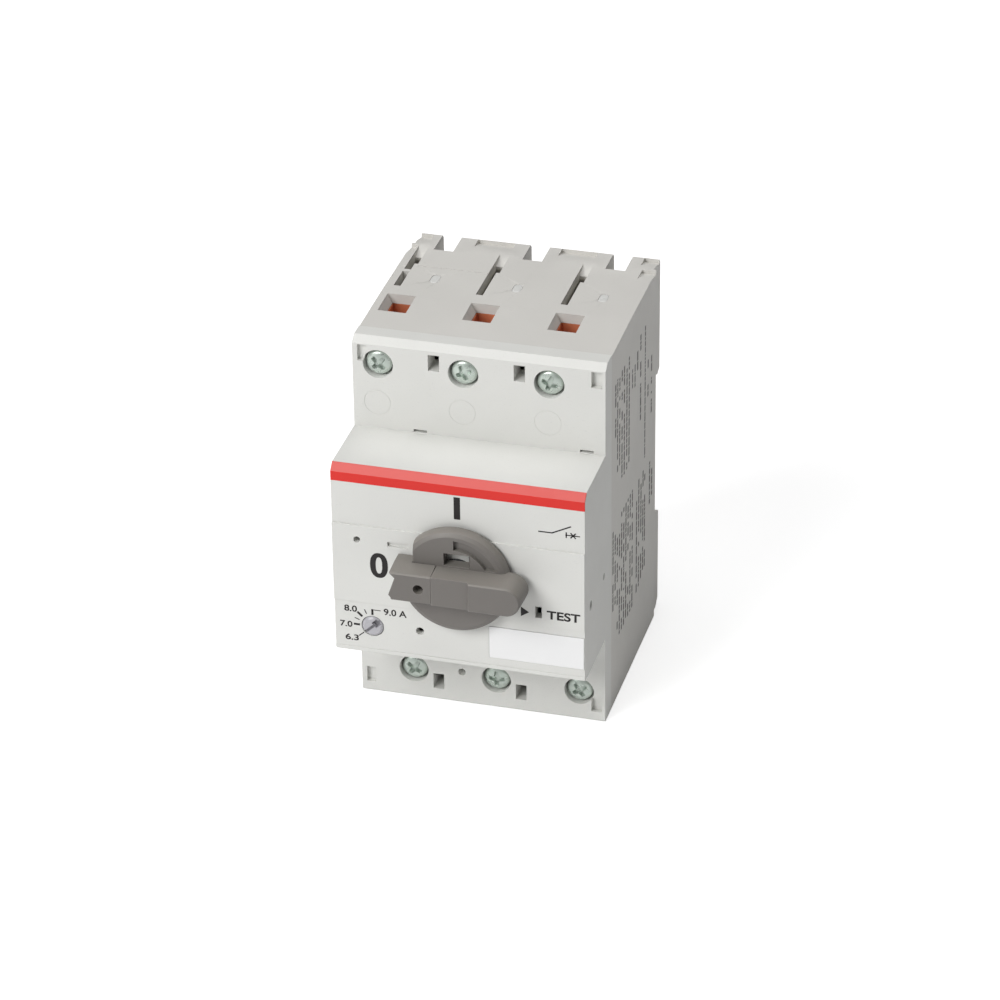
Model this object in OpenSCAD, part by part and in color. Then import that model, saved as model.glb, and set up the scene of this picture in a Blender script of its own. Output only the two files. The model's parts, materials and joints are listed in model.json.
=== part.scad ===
// Three pole motor protection breaker with a rotary handle, for a 35 mm rail.
// Body coordinates used by the modules: x from the centre, y = 0 on the nose
// front and rising to the rear, z = 0 on the lower edge of the nose.

/* [Housing] */
// overall width, three modules of 18 mm
body_w = 54; // [53.8:0.1:54.6]
// overall height of the terminal block
body_h = 86; // [86:0.1:86.4]
// height of the nose that stands through a 45 mm panel cut-out
nose_h = 44.5; // [44.4:0.1:44.6]
// how far the nose stands in front of the terminal faces
nose_d = 17.3; // [17.2:0.1:17.4]
// nose front to the rearmost face
body_d = 68; // [67.9:0.1:68.4]
// thickness of the side walls
wall = 1.6; // [1.5:0.05:1.65]

/* [Handle] */
// diameter of the handle disc
knob_d = 23.8; // [23:0.1:24.4]
// how far the grip stands in front of the nose
grip_y = 8.6; // [8.4:0.1:9]
// height of the grip's front face
grip_h = 6.6; // [6:0.1:7]

/* [Terminals] */
// distance between neighbouring terminal screws
pitch = 18.3; // [18.2:0.05:18.35]
// diameter of the screw access holes
access_d = 6.5; // [6:0.1:6.6]
// terminal screw shank diameter
shank_d = 3.9; // [3.8:0.05:3.95]

/* [Hidden] */
$fn = 48;
e = 0.01;
rise = (body_h - nose_h) / 2;       // terminal block above and below the nose
z_lo = -rise;
z_hi = nose_h + rise;
half = body_w / 2;
inner = half - wall;
part_y = 22.6;                      // parting plane between cover and base
y_mid = (body_d - grip_y) / 2;      // middle of the whole depth
ax_z = 22.05;                       // height of the handle axis
disc_y = -3.3;                      // front of the handle's disc
low_y = 0.8 - grip_y;               // front of the grip's lower, left part
root_h = grip_h + 0.4;              // height of the grip where it meets the disc
seam_x = -3.7;                      // where the grip ends and the lock slide begins
poles = [-17.9, 0, 17.9];
line_x = [-3.2 - pitch, -3.2, -3.2 + pitch];
load_x = [3 - pitch, 3, 3 + pitch];
line_z = z_hi - 5.65;               // screw height, line side
load_z = z_lo + 7.05;               // screw height, load side
seat_y = body_d - 5.8;              // rail seat
rail_lo = 5.8;
rail_hi = 40.9;
top_wall = 2.2;
roof = z_hi - top_wall;             // underside of the top wall
floor_z = z_lo + top_wall;
back_hi = 58.6;                     // rear end of the cavity beside the notches
back_lo = 60.8;
bar_y = 31.5;                       // front face of the terminal bars
bar_t = 1.5;
leg_y = 38.3;                       // front face of a clamp's rear leg
coil_z = 7;
coil_dx = -1.2;                     // coil axis beside the pole's middle
tip_z = [24.4, 43.6];               // heights of the two contacts of a pole
tip_d = 3.2;
band_t = 0.35;                      // thickness of the red strip
band_h = 3.6;                       // height of the red strip below the nose's top
crank = 3.5355;                     // crank pin from the shaft axis, in x and in z
eccentric = 1.2;                    // dial pin from the dial axis
eccentric_a = 65;                   // its angle from upright at the lowest setting
dial = [-18.8, 6.8];
dial_d = 4.6;                       // diameter of the dial's visible face
head_y = 17.5;                      // front of the terminal screws
head_d = 5.6;                       // diameter of their heads
seat_depth = 21;                    // where their heads rest
bi_dx = 2.2;                        // bimetal beside the pole's middle

// a block from one corner to the other
module blk(a, b) {
  translate(a) cube([b[0] - a[0], b[1] - a[1], b[2] - a[2]]);
}

// a rod along Y from y0 to y1
module rod(x, z, d, y0, y1, n = 48) {
  translate([x, y0, z]) rotate([-90, 0, 0]) cylinder(d = d, h = y1 - y0, $fn = n);
}

// a profile of [y, z] points drawn along X
module along_x(pts, x0, x1) {
  translate([x0, 0, 0]) rotate([90, 0, 90]) linear_extrude(x1 - x0) polygon(pts);
}

// a profile of [x, z] points drawn along Y
module along_y(pts, y0, y1) {
  translate([0, y1, 0]) rotate([90, 0, 0]) linear_extrude(y1 - y0) polygon(pts);
}

// square wire spring standing on z = 0: rings, each joined to the next on one side
module spring(h, d, wire, turns) {
  step = (h - wire) / turns;
  for (k = [0:turns])
    translate([0, 0, k * step])
      difference() {
        cylinder(d = d, h = wire, $fn = 32);
        translate([0, 0, -1]) cylinder(d = d - 2 * wire, h = wire + 2, $fn = 32);
      }
  for (k = [0:turns - 1])
    rotate(180 * (k % 2))
      translate([d / 2 - wire, -wire / 2, k * step + wire / 2])
        cube([wire * 0.9, wire, step]);
}

module spring_y(x, z, y0, y1, d, wire, turns) {
  translate([x, y0, z]) rotate([-90, 0, 0]) spring(y1 - y0, d, wire, turns);
}

// ---------- housing ----------

module cover_outline() {
  polygon([[part_y, z_lo], [nose_d + 0.4, z_lo], [nose_d, z_lo + 0.4],
    [nose_d, 0], [0.5, 0], [0, 0.5], [0, nose_h - 1.45], [1.45, nose_h],
    [nose_d, nose_h], [nose_d, z_hi - 1.25], [nose_d + 1.8, z_hi], [part_y, z_hi]]);
}

// a blind socket of w by h, centred on x and z
module socket(x, z, w, h, y0, y1) {
  blk([x - w / 2, y0, z - h / 2], [x + w / 2, y1, z + h / 2]);
}

// the three screw seats of one terminal face
module screw_seats(xs, z) {
  for (x = xs) {
    rod(x, z, access_d, nose_d - 1, seat_depth + 0.1);
    rod(x, z, shank_d + 0.4, seat_depth, part_y + 1);
  }
}

module front_cover() {
  color([0.87, 0.87, 0.85]) {
    difference() {
      union() {
        translate([-half, 0, 0]) rotate([90, 0, 90]) linear_extrude(body_w) cover_outline();
        // raised middle band of the nose
        blk([-half, -0.35, 12.5], [half, 1, 31]);
        // low lip along the lower edge
        blk([-half, -0.15, 0.5], [half, 1, 1.3]);
      }
      // nose cavity
      blk([-inner, 1.8, 1.8], [inner, nose_d, nose_h - 1.8]);
      blk([-inner, nose_d - e, 0.6], [inner, part_y + 1, nose_h - 0.6]);
      // handle shaft
      rod(0, ax_z, 8.2, -1, 3);
      // dial
      rod(dial[0], dial[1], dial_d + 0.3, -1, 3);
      // test slot
      blk([16.5, -1, 14.4], [17.9, 3, 17.1]);
      // label and band recesses
      blk([6.4, -1, 3], [26.9, 0.2, 10.7]);
      red_band_room();
      // small round holes and a shallow mark in the nose
      rod(-21.6, 27.6, 1.5, -1, 3);
      rod(-8.5, 7.1, 1.8, -1, 3);
      blk([-15, -1, 26.9], [-10.5, 0.3, 28]);
      // side holes of the nose, right side
      translate([inner - 1, 16.2, 16.2]) rotate([0, 90, 0]) cylinder(d = 1.6, h = 4);
      translate([inner - 1, 5.1, 15.7]) rotate([0, 90, 0]) cylinder(d = 2.2, h = 4);
      // screw seats
      screw_seats(line_x, line_z);
      screw_seats(load_x, load_z);
      // blind sockets between the screws
      for (x = [-9.5, -9.5 + pitch]) {
        socket(x, z_hi - 3.95, 2.4, 3.7, nose_d - 1, part_y + 1);
        socket(x - 0.3, z_lo + 4.7, 2.4, 3.7, nose_d - 1, part_y + 1);
      }
      for (z = [z_hi - 3.4, z_lo + 4.2]) {
        socket(-24.9, z, 2.0, 3.7, nose_d - 1, nose_d + 1);
        socket(25.15, z, 2.3, 3.7, nose_d - 1, nose_d + 1.2);
      }
      rod(-4.6, z_lo + 7.8, 1.7, nose_d - 1, nose_d + 3);
      // slots where the nose meets the upper terminal face
      for (x = [-12.65, 23.05])
        blk([x - 1.45, nose_d - 1, nose_h + 0.15], [x + 1.45, part_y + 1, nose_h + 0.75]);
      // round tear-out rings below the line screws
      for (x = line_x)
        difference() {
          rod(x - 0.25, z_hi - 14.6, 5.8, nose_d - 1, nose_d + 0.08);
          rod(x - 0.25, z_hi - 14.6, 5.5, nose_d - 2, nose_d + 1);
        }
    }
    // posts that carry the mechanism frame
    for (x = [-10.5, 10.5])
      for (z = [11.2, 33.2])
        rod(x, z, 4.4, 1.7, 7);
    // rear bearing of the dial spindle, and the ledge under the adjusting slide
    difference() {
      blk([-inner - 0.2, 14, 1.7], [-16, 15.6, 10.4]);
      rod(dial[0], dial[1], 3.2, 13, 17);
    }
    blk([-inner - 0.2, 16.9, 0.5], [-15, 19.2, 3.9]);
    // clip tongues that reach into the base
    for (s = [-1, 1])
      for (z = [47.5, -8.6]) {
        x = s > 0 ? inner - 1.6 : -inner + 0.1;
        blk([x, part_y - 1, z], [x + 1.5, 29, z + 4]);
        blk([x + (s > 0 ? 1.4 : -0.35), 26.4, z + 0.4], [x + (s > 0 ? 1.85 : 0.1), 28.6, z + 3.6]);
      }
  }
}

// room of the red strip, sunk into the chamfer and the front of the nose
module red_band_room() {
  along_x([[1.45, nose_h + 0.6], [1.7, nose_h - 0.25], [band_t, nose_h - 1.6],
    [band_t, nose_h - band_h], [-0.6, nose_h - band_h], [-0.6, nose_h - 1.4]],
    -half - 1, half + 1);
}

module red_band() {
  color([0.85, 0.18, 0.14])
    intersection() {
      red_band_room();
      translate([-half, 0, 0]) rotate([90, 0, 90]) linear_extrude(body_w) cover_outline();
    }
}

module label_plate() {
  color([0.96, 0.96, 0.96]) blk([6.5, -0.1, 3.1], [26.8, 0.2, 10.6]);
}

module base_outline() {
  polygon([[part_y, z_lo], [body_d - 2, z_lo], [body_d, z_lo + 1.5], [body_d, 3.1],
    [seat_y + 1.4, rail_lo - 0.9], [seat_y, rail_lo], [seat_y, rail_hi],
    [seat_y + 1.4, rail_hi], [seat_y + 1.4, rail_hi - 1.6], [body_d - 1.9, rail_hi - 2.9],
    [body_d, rail_hi - 2], [body_d, z_hi - 0.8], [body_d - 0.8, z_hi],
    [37.8, z_hi], [part_y, z_hi - 0.25]]);
}

// one funnel for a wire, cut from the end face at z towards the middle
module funnel(x, up) {
  z0 = up > 0 ? z_hi : z_lo;
  // straight throat
  blk([x - 2.9, 33.1, min(z0 - up * 4, z0 + up)], [x + 2.1, 38.1, max(z0 - up * 4, z0 + up)]);
  // sloped front wall and sloped left wall
  intersection() {
    along_x([[30.3, z0], [33.1, z0 - up * top_wall], [33.1, z0 - up * 4], [38.1, z0 - up * 4],
      [38.1, z0 + up], [30.3, z0 + up]], x - 6, x + 6);
    along_y([[x - 3.9, z0], [x - 2.9, z0 - up * top_wall], [x - 2.9, z0 - up * 4],
      [x + 2.3, z0 - up * 4], [x + 2.3, z0 + up], [x - 3.9, z0 + up]], 25, 40);
  }
}

module vents(up) {
  z0 = up > 0 ? z_hi : z_lo;
  a = min(z0 - up * 4, z0 + up);
  b = max(z0 - up * 4, z0 + up);
  for (x = [-24.5, -6.5, 11.9]) {
    difference() {
      blk([x - 0.75, 42, a], [x + 0.75, 58.2, b]);
      // bridge across the outer vent
      if (x < -20) blk([x - 1, 48.9, a - 1], [x + 1, 49.9, b + 1]);
    }
    blk([x + 0.6, 52.8, a], [x + 1.5, 58.2, b]);
    // ramp at the rear end
    along_x([[58.1, z0 - up * 1.4], [61.3, z0 + up * 0.01], [61.3, z0 + up], [58.1, z0 + up]],
      x - 0.75, x + 1.5);
  }
}

// a recess in the top that deepens from y0 to an upright rear wall at y1
module scoop(x0, x1, y0, y1, depth) {
  along_x([[y0, z_hi], [y1, z_hi - depth], [y1, z_hi + 1], [y0, z_hi + 1]], x0, x1);
}

module pole_cavity(x0, x1) {
  blk([x0, part_y - 1, floor_z], [x1, back_hi, roof]);
  blk([x0, back_hi - e, floor_z], [x1, back_lo, 54]);
}

module base_housing() {
  edges = [-inner, -9.95, -8.35, 8.35, 9.95, inner];
  color([0.80, 0.79, 0.77])
    difference() {
      union() {
        difference() {
          translate([-half, 0, 0]) rotate([90, 0, 90]) linear_extrude(body_w) base_outline();
          // three pole chambers, and the open front shared by the mechanism
          for (i = [0:2])
            pole_cavity(edges[2 * i], edges[2 * i + 1]);
          blk([-inner, part_y - 1, 0], [inner, 34.5, nose_h]);
        }
        // shelves between the mechanism and the terminal chambers
        blk([-inner - e, part_y, nose_h], [inner + e, 30.5, nose_h + 1.5]);
        blk([-inner - e, part_y, -1.5], [inner + e, 26, 0]);
        // shelf under the magnet yokes
        blk([-inner - e, 34.4, -2], [inner + e, back_lo + e, -0.4]);
        for (i = [0:2]) {
          x0 = edges[2 * i] - e;
          x1 = edges[2 * i + 1] + e;
          // walls behind the wire chambers, and the blocks where a wire stops
          blk([x0, 39.9, 50.4], [x1, 41.1, roof + e]);
          blk([x0, 39.9, floor_z - e], [x1, 41.1, -2 + e]);
          blk([x0, bar_y + bar_t, 50.3], [x1, leg_y + 1.7, 55.9]);
          blk([x0, bar_y + bar_t, -9.9], [x1, leg_y + 1.7, -3.2]);
          // ribs behind the fixed contacts
          blk([poles[i] - 2, 45.85, 42], [poles[i] + 2, back_lo + e, 47.5]);
          blk([poles[i] - 2, 45.85, 19.5], [poles[i] + 2, back_lo + e, 25]);
          // decks that divide the chambers behind the load terminals
          blk([x0, 41, -11], [x1, back_lo + e, -9.8]);
          // ledges under the arc plates
          blk([x0, 41, 50.6], [poles[i] - 4.8, back_hi + e, 52]);
          blk([poles[i] + 4.8, 41, 50.6], [x1, back_hi + e, 52]);
        }
      }
      // room for the line bars where they run to the rear
      for (i = [0:2]) {
        blk([min(line_x[i], poles[i]) - 2.5, bar_y - 0.1, 48.7],
          [max(line_x[i], poles[i]) + 2.5, 46, 50.3]);
      }
      // wire funnels and arc vents, both ends
      for (x = line_x) funnel(x, 1);
      for (x = load_x) funnel(x, -1);
      vents(1);
      vents(-1);
      // notches through the rear edge
      for (x = [-19.5, 0.15, 18.4]) {
        blk([x - 2.15, 60.2, 58], [x + 2.15, body_d + 1, z_hi + 1]);
        blk([x - 2.15, 61.6, z_lo - 1], [x + 2.15, body_d + 1, z_lo + 5]);
      }
      // sloped scoops near the rear edge and shallow long dimples on the top
      for (x = [[-28, -23.4], [-13.6, -5.3], [5, 13], [23.2, 28]])
        scoop(x[0], x[1], 63.6, 67.1, 1);
      for (x = [[-28, -25.6], [24, 28]])
        scoop(x[0], x[1], 57, 61.5, 0.8);
      // fine line across the top
      blk([-23, 51.9, z_hi - 0.12], [-5.6, 52.1, z_hi + 1]);
      for (x = [-17.5, 0.5, 19.2]) {
        for (y = [46, 47.8])
          translate([x, y, z_hi - 0.25]) cylinder(d = 2, h = 1);
        blk([x - 1, 46, z_hi - 0.25], [x + 1, 47.8, z_hi + 1]);
      }
      // stepped sides behind the rail seat
      for (s = [-1, 1])
        blk([s * half - 0.6, seat_y, z_lo - 1], [s * half + 0.6, body_d + 1, z_hi + 1]);
      // pockets in the hook block, open to the back
      for (x = [-12.6, -4.6, 5, 12.4])
        blk([x - 2.6, 63.7, rail_hi + 2], [x + 2.6, body_d + 1, 57]);
      for (x = [-23.6, 23.6])
        blk([x - 1.6, 63.7, rail_hi + 2], [x + 1.6, body_d + 1, 57]);
      // pockets in the foot
      for (x = [-21, -13.4, 13.4, 21])
        blk([x - 3, 63.7, z_lo + 6.6], [x + 3, body_d + 1, 1.2]);
      // guide of the rail latch, a T slot open at both ends
      blk([-8, seat_y + 1.4, z_lo - 1], [8, body_d - 0.9, rail_lo + 1]);
      blk([-6, body_d - 1, z_lo - 1], [6, body_d + 1, rail_lo + 1]);
      // recesses for the cover's clip barbs
      for (s = [-1, 1])
        for (z = [47.5, -8.6])
          blk([s * (inner + 0.2) - 0.5, 26.2, z + 0.2], [s * (inner + 0.2) + 0.5, 28.8, z + 3.8]);
    }
  // stop tab inside the latch
  color([0.80, 0.79, 0.77]) blk([-1.6, seat_y + 1.3, -13.9], [1.6, body_d - 1.2, -12.4]);
}

// ---------- handle ----------

// half profile of the tapered grip, root to front: [half height, y]
function grip_profile(h, root, front) = [[h / 2, root], [h / 2, disc_y - 0.1],
  [grip_h / 2, front + 0.3], [grip_h / 2 - 0.3, front]];

module grip_bar(h, x0, x1, root, front) {
  p = grip_profile(h, root, front);
  translate([0, 0, ax_z])
    along_x(concat([for (q = p) [q[1], -q[0]]], [for (i = [3:-1:0]) [p[i][1], p[i][0]]]), x0, x1);
}

module handle_knob() {
  r = knob_d / 2;
  bar_end = 12.1;
  step_x = 4.6;
  color([0.48, 0.47, 0.45])
    difference() {
      union() {
        difference() {
          // disc with a stepped rim
          translate([0, 0, ax_z]) rotate([-90, 0, 0])
            rotate_extrude($fn = 96)
              polygon([[0, -0.75], [r, -0.75], [r, -2], [r - 0.35, -2.9], [r - 1.2, disc_y],
                [0, disc_y]]);
          // the upper left edge is cut off upright, beside the lock slide
          blk([-r - 1, -7, ax_z - 3.9], [-8.7, 1, ax_z + r]);
          // channel around the hub, upper right quarter only
          difference() {
            rod(0, ax_z, 19.8, disc_y - 1, disc_y + 1, 96);
            rod(0, ax_z, 15.3, disc_y - 2, 0, 96);
            blk([-r, disc_y - 2, ax_z - r], [0, 0, ax_z + r]);
            blk([-r, disc_y - 2, ax_z - r], [r, 0, ax_z + 3.8]);
          }
        }
        grip_bar(root_h, seam_x, bar_end, -2, -grip_y);
        translate([bar_end, 0, ax_z]) rotate([-90, 0, 0])
          rotate_extrude($fn = 64)
            polygon(concat([[0, -2]], grip_profile(root_h, -2, -grip_y), [[0, -grip_y]]));
      }
      // the left part of the grip lies a step lower
      translate([0, 0, ax_z - 6]) linear_extrude(12)
        polygon([[-5, low_y], [step_x - 0.5, low_y], [step_x, -grip_y], [step_x, -12], [-5, -12]]);
      // pocket for the tongue of the lock slide
      blk([seam_x - 1, -7, ax_z - 2.45], [3.6, -4, ax_z + 2.45]);
      // window through the hub
      blk([-2.1, -7, ax_z + 3.9], [3.4, 0, ax_z + 6.8]);
      // seat of the shaft's square end
      blk([-2.6, -3.25, ax_z - 2.6], [2.6, 0, ax_z + 2.6]);
    }
}

module handle_lock_slide() {
  x1 = seam_x - 0.06;
  color([0.50, 0.49, 0.46])
    difference() {
      union() {
        intersection() {
          difference() {
            grip_bar(root_h + 0.4, -13, x1, -0.6, low_y);
            // only the outer end reaches down beside the disc
            blk([-8.85, disc_y - 0.12, ax_z - 6], [x1 + 1, 1, ax_z + 6]);
          }
          // end with a finger notch
          translate([0, 0, ax_z])
            along_y([[x1, 6], [-12.55, 6], [-12.55, 3.15], [-11.4, 2.05], [-12.8, -2.05],
              [-12.3, -2.75], [-12, -6], [x1, -6]], -20, 0);
        }
        blk([x1 - 1, -6.9, ax_z - 2.3], [3, -4.1, ax_z + 2.3]);
      }
      // blind hole in the front
      rod(-6.4, ax_z, 2.2, -grip_y - 1, -5.2);
      // shackle hole, free once the slide is pulled out
      translate([-1.2, -5.5, ax_z - 4]) cylinder(d = 2.6, h = 8);
    }
}

module handle_shaft() {
  color([0.30, 0.30, 0.31]) {
    blk([-2.55, -3.2, ax_z - 2.55], [2.55, -0.2, ax_z + 2.55]);
    rod(0, ax_z, 8, -0.6, 10.7);
    rod(0, ax_z, 13, 3.2, 5);
    rod(0, ax_z, 15, 10.6, 13);
    rod(-crank, ax_z - crank, 3.2, 12.9, 16.6);
  }
}

module shaft_bush() {
  color([0.72, 0.55, 0.28])
    difference() {
      union() {
        rod(0, ax_z, 10.96, 6.2, 8.8);
        rod(0, ax_z, 12.6, 6.2, 7);
      }
      rod(0, ax_z, 8.1, 5, 10);
    }
}

// ---------- switching mechanism ----------

module mechanism_frame() {
  color([0.72, 0.73, 0.75])
    difference() {
      union() {
        blk([-14.2, 7, 8], [14.2, 8.2, 37.6]);
        for (s = [-1, 1]) {
          x = s > 0 ? 13 : -14.2;
          blk([x, 7, 5], [x + 1.2, 25.4, 37.6]);
          blk([s > 0 ? 8.6 : -13.1, 12.6, 36.4], [s > 0 ? 13.1 : -8.6, 17.8, 37.6]);
        }
      }
      rod(0, ax_z, 10.98, 5, 10);
      // bearings of the trip bar
      translate([-20, 23.2, 9]) rotate([0, 90, 0]) cylinder(d = 3.1, h = 40);
      // lightening windows
      for (s = [-1, 1]) blk([s * 13.6 - 2, 11, 14], [s * 13.6 + 2, 20, 30]);
    }
}

module drive_slide() {
  color([0.55, 0.56, 0.58])
    difference() {
      union() {
        blk([-12.8, 14, 12], [12.8, 16.4, 22]);
        blk([-8, 14, 12], [8, 16.4, 34]);
        // wedges that push the contact carrier to the rear
        for (x = [-7.5, 4.5])
          along_x([[16.3, 34], [16.8, 34], [22.9, 22], [16.3, 22]], x, x + 3);
      }
      // slot for the crank pin
      blk([-7.2, 13, ax_z - crank - 1.85], [-1.3, 18, ax_z - crank + 1.85]);
      // clearance window
      blk([1.5, 13, 15], [7, 18, 24]);
    }
}

module opening_springs() {
  color([0.62, 0.63, 0.66])
    for (x = [-10.6, 10.6])
      translate([x, 15.2, 22]) spring(14.4, 3.8, 0.6, 6);
}

module contact_carrier() {
  color([0.22, 0.23, 0.24])
    difference() {
      union() {
        blk([-24, 26, 31], [24, 30.5, 37]);
        for (x = [-7.4, 4.6])
          along_x([[17.5, 33], [21.07, 26], [26.5, 26], [26.5, 33]], x, x + 2.8);
        for (p = poles) blk([p - 4, 30, 31], [p + 4, 41, 37]);
      }
      for (p = poles) blk([p - 2.75, 31.5, 30], [p + 2.75, 39.4, 38]);
    }
}

module contact_springs() {
  color([0.65, 0.66, 0.68])
    for (p = poles) spring_y(p, 34, 31.5, 38.2, 4.6, 0.6, 4);
}

module moving_bridges() {
  color([0.80, 0.50, 0.34])
    for (p = poles) blk([p - 2.5, 38.2, 22.6], [p + 2.5, 39.4, 45.4]);
}

module moving_tips() {
  color([0.85, 0.86, 0.86])
    for (p = poles)
      for (z = tip_z) rod(p, z, tip_d, 39.4, 40.2, 32);
}

module fixed_tips() {
  color([0.85, 0.86, 0.86])
    for (p = poles)
      for (z = tip_z) rod(p, z, tip_d, 43.85, 44.65, 32);
}

// ---------- current path ----------

module line_bars() {
  color([0.80, 0.50, 0.34])
    for (i = [0:2]) {
      x = line_x[i];
      p = poles[i];
      a = min(x, p);
      b = max(x, p);
      blk([x - 2.4, bar_y, 48.8], [x + 2.4, bar_y + bar_t, 62.5]);
      blk([a - 2.4, bar_y, 48.8], [b + 2.4, 45.85, 50.3]);
      blk([p - 2.4, 44.65, 41.4], [p + 2.4, 45.85, 48.9]);
    }
}

module mid_bars() {
  color([0.80, 0.50, 0.34])
    for (p = poles) blk([p - 2.4, 44.65, 18], [p + 2.4, 45.85, 26.6]);
}

module load_bars() {
  color([0.80, 0.50, 0.34])
    for (x = load_x) {
      blk([x - 2.4, bar_y, -17.5], [x + 2.4, bar_y + bar_t, -3.1]);
      blk([x - 2.4, 26.5, -4.5], [x + 2.4, bar_y + bar_t, -3]);
    }
}

module splitter_plates() {
  color([0.60, 0.61, 0.62])
    for (p = poles)
      for (k = [0:6])
        difference() {
          blk([p - 5.2, 42.2 + 2.3 * k, 52.6], [p + 5.2, 43.2 + 2.3 * k, 62]);
          along_y([[p - 1.6, 52], [p, 57.5], [p + 1.6, 52]], 40, 60);
        }
}

module arc_cheeks() {
  color([0.83, 0.78, 0.68])
    for (p = poles)
      for (s = [-1, 1]) {
        x = p + s * 5.2;
        blk([min(x, x + s * 0.8), 41.6, 52], [max(x, x + s * 0.8), 58.2, 62.4]);
      }
}

// ---------- magnetic trip ----------

module coil_yokes() {
  color([0.58, 0.59, 0.61])
    for (p = poles) {
      x = p + coil_dx;
      difference() {
        along_x([[34.4, -0.4], [49.8, -0.4], [49.8, 12], [48.6, 12], [48.6, 0.8], [35.6, 0.8],
          [35.6, 12], [34.4, 12]], x - 4.5, x + 4.5);
        rod(x, coil_z, 4.9, 40, 60);
        rod(x, coil_z, 4.4, 30, 40);
      }
    }
}

module coil_cores() {
  color([0.68, 0.69, 0.71])
    for (p = poles)
      difference() {
        rod(p + coil_dx, coil_z, 4.4, 34.4, 41);
        rod(p + coil_dx, coil_z, 2.6, 30, 45);
        rod(p + coil_dx, coil_z, 3.7, 37, 45);
      }
}

module coil_bobbins() {
  color([0.90, 0.88, 0.80])
    for (p = poles)
      difference() {
        union() {
          rod(p + coil_dx, coil_z, 6.2, 35.6, 48.6);
          rod(p + coil_dx, coil_z, 11.8, 35.6, 36.5);
          rod(p + coil_dx, coil_z, 11.8, 47.7, 48.6);
        }
        rod(p + coil_dx, coil_z, 4.6, 30, 60);
      }
}

module coil_windings() {
  wire = 1.6;
  color([0.72, 0.38, 0.20])
    for (p = poles) {
      x = p + coil_dx;
      difference() {
        union() {
          translate([x, 0, coil_z]) rotate([-90, 0, 0]) rotate_extrude($fn = 48)
            for (k = [0:6]) translate([4.75, 37.4 + 1.55 * k]) circle(d = wire, $fn = 20);
          rod(x, coil_z, 9.4, 36.7, 47.5);
          // leads to the fixed contact and to the heater
          blk([x - 0.8, 44.7, coil_z + 4], [x + 0.8, 45.8, 18]);
          blk([p + 3.4, 36.9, coil_z + 1.5], [p + 4.6, 38.1, 16.8]);
          blk([p + 3.4, 32.3, 15.6], [p + 4.6, 38.1, 16.8]);
        }
        rod(x, coil_z, 6.3, 30, 60);
      }
    }
}

module plunger(i) {
  x = poles[i] + coil_dx;
  color([0.50, 0.51, 0.53]) {
    rod(x, coil_z, 4.4, 43.2, 53);
    rod(x, coil_z, 2.2, 27, 43.3);
  }
}

module plunger_spring(i) {
  color([0.62, 0.63, 0.66]) spring_y(poles[i] + coil_dx, coil_z, 37, 43.2, 3.5, 0.45, 4);
}

// ---------- thermal trip ----------

module bimetal_strips() {
  color([0.70, 0.66, 0.58])
    for (p = poles) blk([p + bi_dx, 26.6, -3], [p + bi_dx + 0.8, 31.4, 22]);
}

module heater_windings() {
  color([0.66, 0.60, 0.50])
    for (p = poles)
      difference() {
        union() {
          blk([p + bi_dx - 0.7, 26, 1], [p + bi_dx + 1.5, 32, 17]);
          for (k = [0:7])
            blk([p + bi_dx - 1, 25.7, 1.4 + 2 * k], [p + bi_dx + 1.8, 32.3, 2.6 + 2 * k]);
        }
        blk([p + bi_dx, 26.6, 0], [p + bi_dx + 0.8, 31.4, 18]);
      }
}

module trip_slide() {
  color([0.30, 0.34, 0.30]) {
    blk([-21, 27, 23.2], [22.9, 30.5, 25.2]);
    for (p = poles) blk([p + 3.6, 27.4, 19], [p + 4.8, 30.4, 23.3]);
    // arm to the test slot with its wedge
    blk([17.5, 22, 23.2], [19.5, 27.1, 25.2]);
    blk([17.5, 20, 14.8], [19.5, 22.1, 25.2]);
    blk([17.5, 5.4, 14.8], [19.5, 20.1, 16.8]);
    // a tool pushed into the slot drives this slope to +X
    translate([0, 0, 14.8]) linear_extrude(2)
      polygon([[18, 2.4], [19.5, 2.4], [19.5, 5.5], [15.9, 5.5]]);
  }
}

module trip_slide_spring() {
  color([0.62, 0.63, 0.66])
    translate([19.5, 12, 15.8]) rotate([0, 90, 0]) spring(inner - 19.5, 3.2, 0.45, 4);
}

module trip_bar() {
  color([0.60, 0.61, 0.63]) {
    translate([-23.5, 23.2, 9]) rotate([0, 90, 0]) cylinder(d = 3, h = 47);
    for (p = poles) blk([p + coil_dx - 2, 23.2, 3], [p + coil_dx + 2, 24.6, 9]);
    // hook behind the drive slide
    along_x([[22.4, 9], [24, 9], [19.6, 19.6], [16.7, 19.6], [16.7, 18.2], [18.8, 18.2]], -1.5, 1.5);
  }
}

// ---------- current setting ----------

module current_dial() {
  color([0.64, 0.64, 0.65])
    difference() {
      union() {
        translate([dial[0], -0.3, dial[1]]) rotate([-90, 0, 0])
          rotate_extrude($fn = 64)
            polygon([[0, 0], [dial_d / 2 - 0.5, 0], [dial_d / 2, 0.4], [dial_d / 2, 2.25],
              [dial_d / 2 + 0.8, 2.25], [dial_d / 2 + 0.8, 3], [0, 3]]);
      }
      // screwdriver slot, pointing at the lowest setting, wide at its other end
      translate([dial[0], 0, dial[1]]) rotate([0, 47, 0]) {
        blk([-0.3, -1, -2.5], [0.3, 0.4, 2.2]);
        blk([-0.75, -1, 0.5], [0.75, 0.9, 1.9]);
      }
    }
}

module dial_spindle() {
  color([0.72, 0.73, 0.75]) {
    rod(dial[0], dial[1], 3, 2.7, 15.8);
    rod(dial[0], dial[1], 4.4, 15.7, 16.8);
    rod(dial[0] - eccentric * sin(eccentric_a), dial[1] + eccentric * cos(eccentric_a), 1.6,
      16.7, 19.2);
  }
}

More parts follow.
